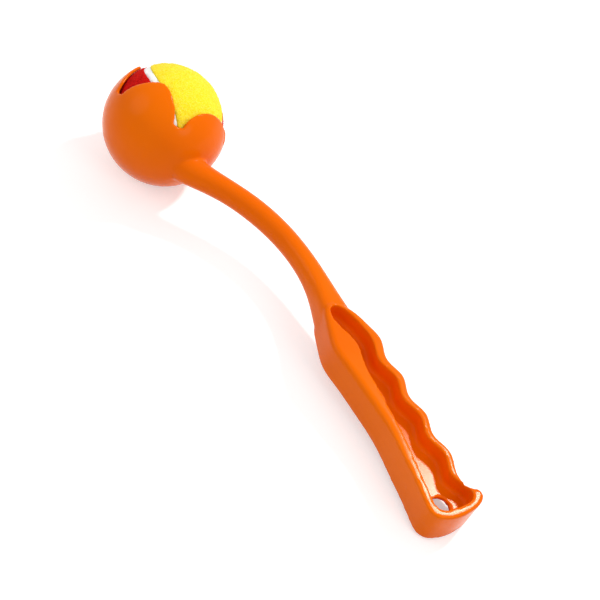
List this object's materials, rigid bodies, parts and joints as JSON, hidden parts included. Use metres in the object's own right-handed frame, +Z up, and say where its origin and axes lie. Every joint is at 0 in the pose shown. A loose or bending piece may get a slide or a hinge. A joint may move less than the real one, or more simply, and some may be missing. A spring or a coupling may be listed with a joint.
{
  "type": "dog ball thrower",
  "caption": "Hand-held dog ball thrower: a grip with finger grooves and a hanging hole, a curved arm, and a cup of springy petals with a two-tone felt ball in it.",
  "frame": {"origin": "at floor level, under the middle of the bounding box of the thrower and its ball, as it lies on a floor", "axes": "+X from the cup towards the end of the grip, +Y to the side of the finger grooves, +Z up"},
  "size_m": [0.3194, 0.0872, 0.071],
  "materials": {
    "orange_plastic": "gloss",
    "yellow_felt": "matte",
    "red_felt": "matte",
    "seam_rubber": "matte",
    "core_rubber": "matte"
  },
  "bodies": {
    "thrower": {"cup": "orange_plastic", "arm": "orange_plastic", "handle": "orange_plastic"},
    "ball": {"ball_core_upper": "core_rubber", "ball_core_lower": "core_rubber", "ball_seam": "seam_rubber", "felt_panel_yellow": "yellow_felt", "felt_panel_red": "red_felt"},
    "petal_1_tongue": {"petal_1": "orange_plastic"},
    "petal_2_tongue": {"petal_2": "orange_plastic"},
    "petal_3_tongue": {"petal_3": "orange_plastic"},
    "petal_4_tongue": {"petal_4": "orange_plastic"},
    "petal_5_tongue": {"petal_5": "orange_plastic"}
  },
  "joints": [
    {"name": "ball_release", "type": "slide", "parent": "thrower", "child": "ball", "axis": [-0.3518, 0.5488, 0.7583], "range_m": [0, 0.075], "deforming": ["petal_1", "petal_2", "petal_3", "petal_4", "petal_5"]},
    {"name": "petal_1_flex", "type": "hinge", "parent": "thrower", "child": "petal_1_tongue", "pos_m": [-0.15321, 0.00615, 0.01981], "axis": [-0.5434, -0.7794, 0.3119], "range_deg": [0, 18], "stiffness_Nm_per_rad": 0.5},
    {"name": "petal_2_flex", "type": "hinge", "parent": "thrower", "child": "petal_2_tongue", "pos_m": [-0.15286, -0.02766, 0.04443], "axis": [0.5569, -0.5284, 0.6408], "range_deg": [0, 18], "stiffness_Nm_per_rad": 0.5},
    {"name": "petal_3_flex", "type": "hinge", "parent": "thrower", "child": "petal_3_tongue", "pos_m": [-0.11552, -0.02961, 0.06317], "axis": [0.8876, 0.4528, 0.0841], "range_deg": [0, 18], "stiffness_Nm_per_rad": 0.5},
    {"name": "petal_4_flex", "type": "hinge", "parent": "thrower", "child": "petal_4_tongue", "pos_m": [-0.0928, 0.00298, 0.05013], "axis": [-0.0083, 0.8083, -0.5888], "range_deg": [0, 18], "stiffness_Nm_per_rad": 0.5},
    {"name": "petal_5_flex", "type": "hinge", "parent": "thrower", "child": "petal_5_tongue", "pos_m": [-0.11609, 0.02508, 0.02332], "axis": [-0.8928, 0.0468, -0.448], "range_deg": [0, 18], "stiffness_Nm_per_rad": 0.5}
  ]
}
